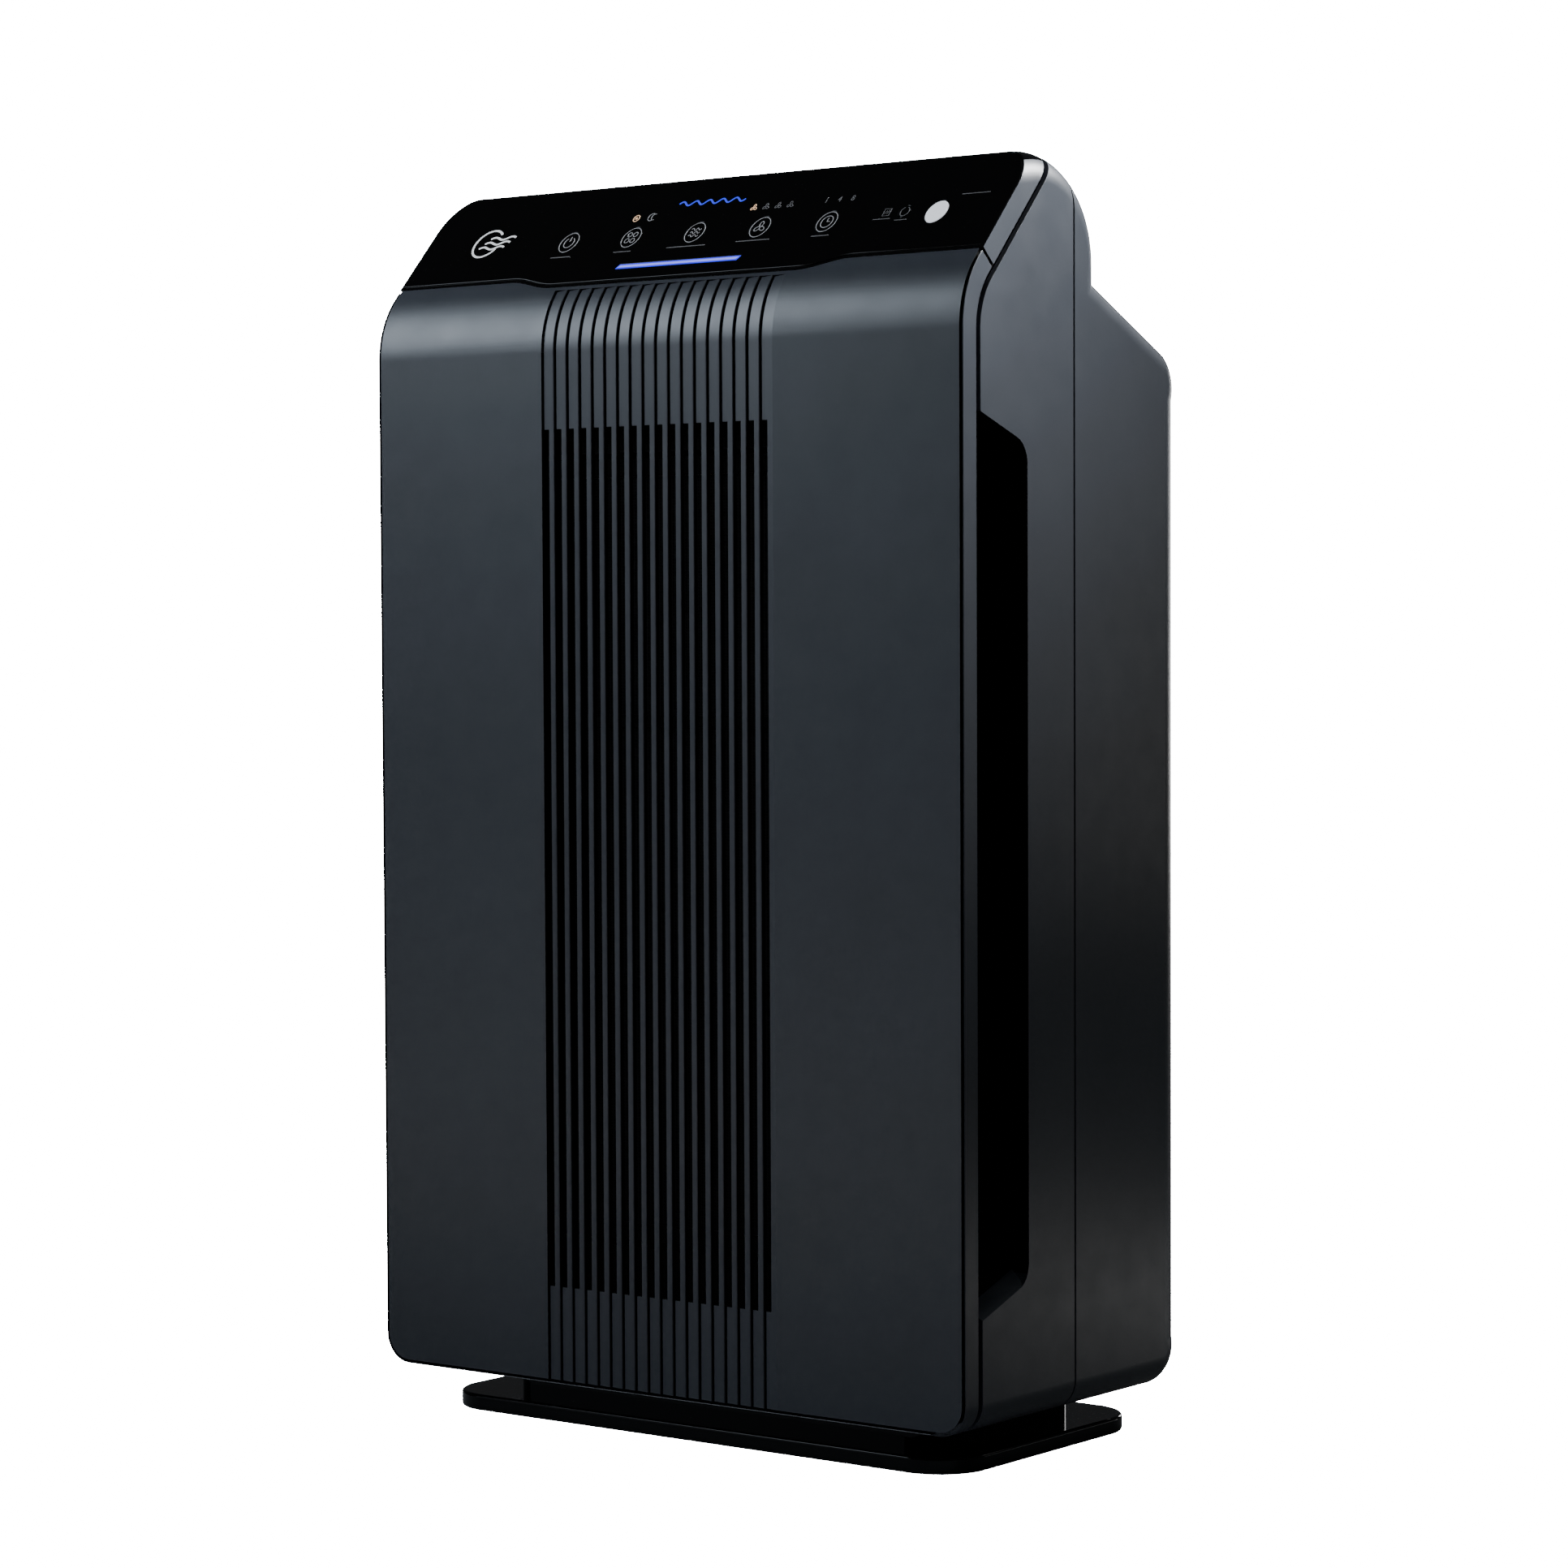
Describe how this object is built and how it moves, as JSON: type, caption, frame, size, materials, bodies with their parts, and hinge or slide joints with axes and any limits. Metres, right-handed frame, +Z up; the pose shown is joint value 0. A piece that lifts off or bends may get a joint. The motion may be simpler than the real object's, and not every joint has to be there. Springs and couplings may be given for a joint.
{
  "type": "air purifier",
  "caption": "Free-standing tower air purifier with a removable slotted front panel, stacked filters, a centrifugal fan and a sloping touch-key control head on a low base.",
  "frame": {"origin": "centre of the outline at floor level, under the rubber feet", "axes": "+Z up, +Y from the front panel towards the rear face, +X to the viewer's right when facing the front"},
  "size_m": [0.366, 0.196, 0.6286],
  "materials": {
    "casing": "satin moulded charcoal",
    "panel": "satin moulded charcoal",
    "gloss_black": "piano black",
    "inner_plastic": "matte black moulding",
    "rubber": "soft black",
    "steel": "zinc plated",
    "motor_can": "cast, bead blasted",
    "impeller_plastic": "glass-filled black",
    "board": "green solder mask",
    "components": "electronic parts",
    "white_plastic": "off-white moulding",
    "pipe_clear": "clear acrylic",
    "lens_white": "opal lens",
    "light_bar": "lit diffuser",
    "filter_paper": "pleated glass fibre paper",
    "filter_frame": "moulded fibre board",
    "gasket_foam": "closed-cell foam",
    "tab_blue": "woven tape",
    "mesh": "fine nylon net",
    "carbon": "carbon pellets in a honeycomb"
  },
  "bodies": {
    "casing": {"base_plate": "gloss_black", "base_neck": "gloss_black", "rubber_feet": "rubber", "front_housing": "casing", "rear_housing": "casing", "filter_bay": "inner_plastic", "panel_catches": "inner_plastic", "inlet_grille": "inner_plastic", "fan_scroll": "inner_plastic", "scroll_back_plate": "inner_plastic", "motor_mount": "steel", "motor_screws": "steel", "motor": "motor_can", "outlet_duct": "inner_plastic", "outlet_grille": "inner_plastic", "ioniser_unit": "white_plastic", "ioniser_needles": "steel", "handle_cup": "inner_plastic", "control_bezel": "casing", "control_overlay": "gloss_black", "light_bar": "light_bar", "air_quality_lens": "lens_white", "light_pipes": "pipe_clear", "display_board": "board", "tact_switches": "steel", "interlock_switch": "components", "power_board": "board", "board_parts": "components", "board_posts": "casing", "cord_gland": "rubber", "housing_screws": "steel", "odour_sensor": "steel", "sensor_cover": "inner_plastic"},
    "front_panel": {"front_skin": "panel", "panel_frame": "panel"},
    "prefilter": {"prefilter_frame": "inner_plastic", "prefilter_mesh": "mesh", "carbon_media": "carbon"},
    "pleated_filter": {"hepa_frame": "filter_frame", "hepa_media": "filter_paper", "hepa_gasket": "gasket_foam", "hepa_pull_tabs": "tab_blue"},
    "fan_rotor": {"impeller": "impeller_plastic", "motor_shaft": "steel", "hub_nut": "steel"},
    "plunger": {"interlock_plunger": "white_plastic"},
    "power_button": {"power_key": "gloss_black"},
    "mode_button": {"mode_key": "gloss_black"},
    "ioniser_button": {"ioniser_key": "gloss_black"},
    "fan_speed_button": {"fan_speed_key": "gloss_black"},
    "timer_button": {"timer_key": "gloss_black"},
    "reset_button": {"reset_key": "gloss_black"}
  },
  "joints": [
    {"name": "panel_pull", "type": "slide", "parent": "casing", "child": "front_panel", "axis": [0, -1, 0], "range_m": [0, 0.42]},
    {"name": "prefilter_pull", "type": "slide", "parent": "casing", "child": "prefilter", "axis": [0, -1, 0], "range_m": [0, 0.27]},
    {"name": "pleated_filter_pull", "type": "slide", "parent": "casing", "child": "pleated_filter", "axis": [0, -1, 0], "range_m": [0, 0.16]},
    {"name": "interlock_travel", "type": "slide", "parent": "casing", "child": "plunger", "axis": [0, -1, 0], "range_m": [0, 0.003]},
    {"name": "fan_spin", "type": "hinge", "parent": "casing", "child": "fan_rotor", "pos_m": [0, 0, 0.293], "axis": [0, 1, 0], "continuous": true},
    {"name": "power_press", "type": "slide", "parent": "casing", "child": "power_button", "axis": [0, 0.7373, -0.6756], "range_m": [0, 0.0005], "stiffness_N_per_m": 1500},
    {"name": "mode_press", "type": "slide", "parent": "casing", "child": "mode_button", "axis": [0, 0.7373, -0.6756], "range_m": [0, 0.0005], "stiffness_N_per_m": 1500},
    {"name": "ioniser_press", "type": "slide", "parent": "casing", "child": "ioniser_button", "axis": [0, 0.7373, -0.6756], "range_m": [0, 0.0005], "stiffness_N_per_m": 1500},
    {"name": "fan_speed_press", "type": "slide", "parent": "casing", "child": "fan_speed_button", "axis": [0, 0.7373, -0.6756], "range_m": [0, 0.0005], "stiffness_N_per_m": 1500},
    {"name": "timer_press", "type": "slide", "parent": "casing", "child": "timer_button", "axis": [0, 0.7373, -0.6756], "range_m": [0, 0.0005], "stiffness_N_per_m": 1500},
    {"name": "reset_press", "type": "slide", "parent": "casing", "child": "reset_button", "axis": [0, 0.7373, -0.6756], "range_m": [0, 0.0005], "stiffness_N_per_m": 1500}
  ],
  "couplings": [
    {"joint": "prefilter_pull", "follows": "panel_pull", "ratio": 0.62},
    {"joint": "pleated_filter_pull", "follows": "panel_pull", "ratio": 0.36},
    {"joint": "interlock_travel", "follows": "panel_pull", "ratio": 0.006}
  ]
}
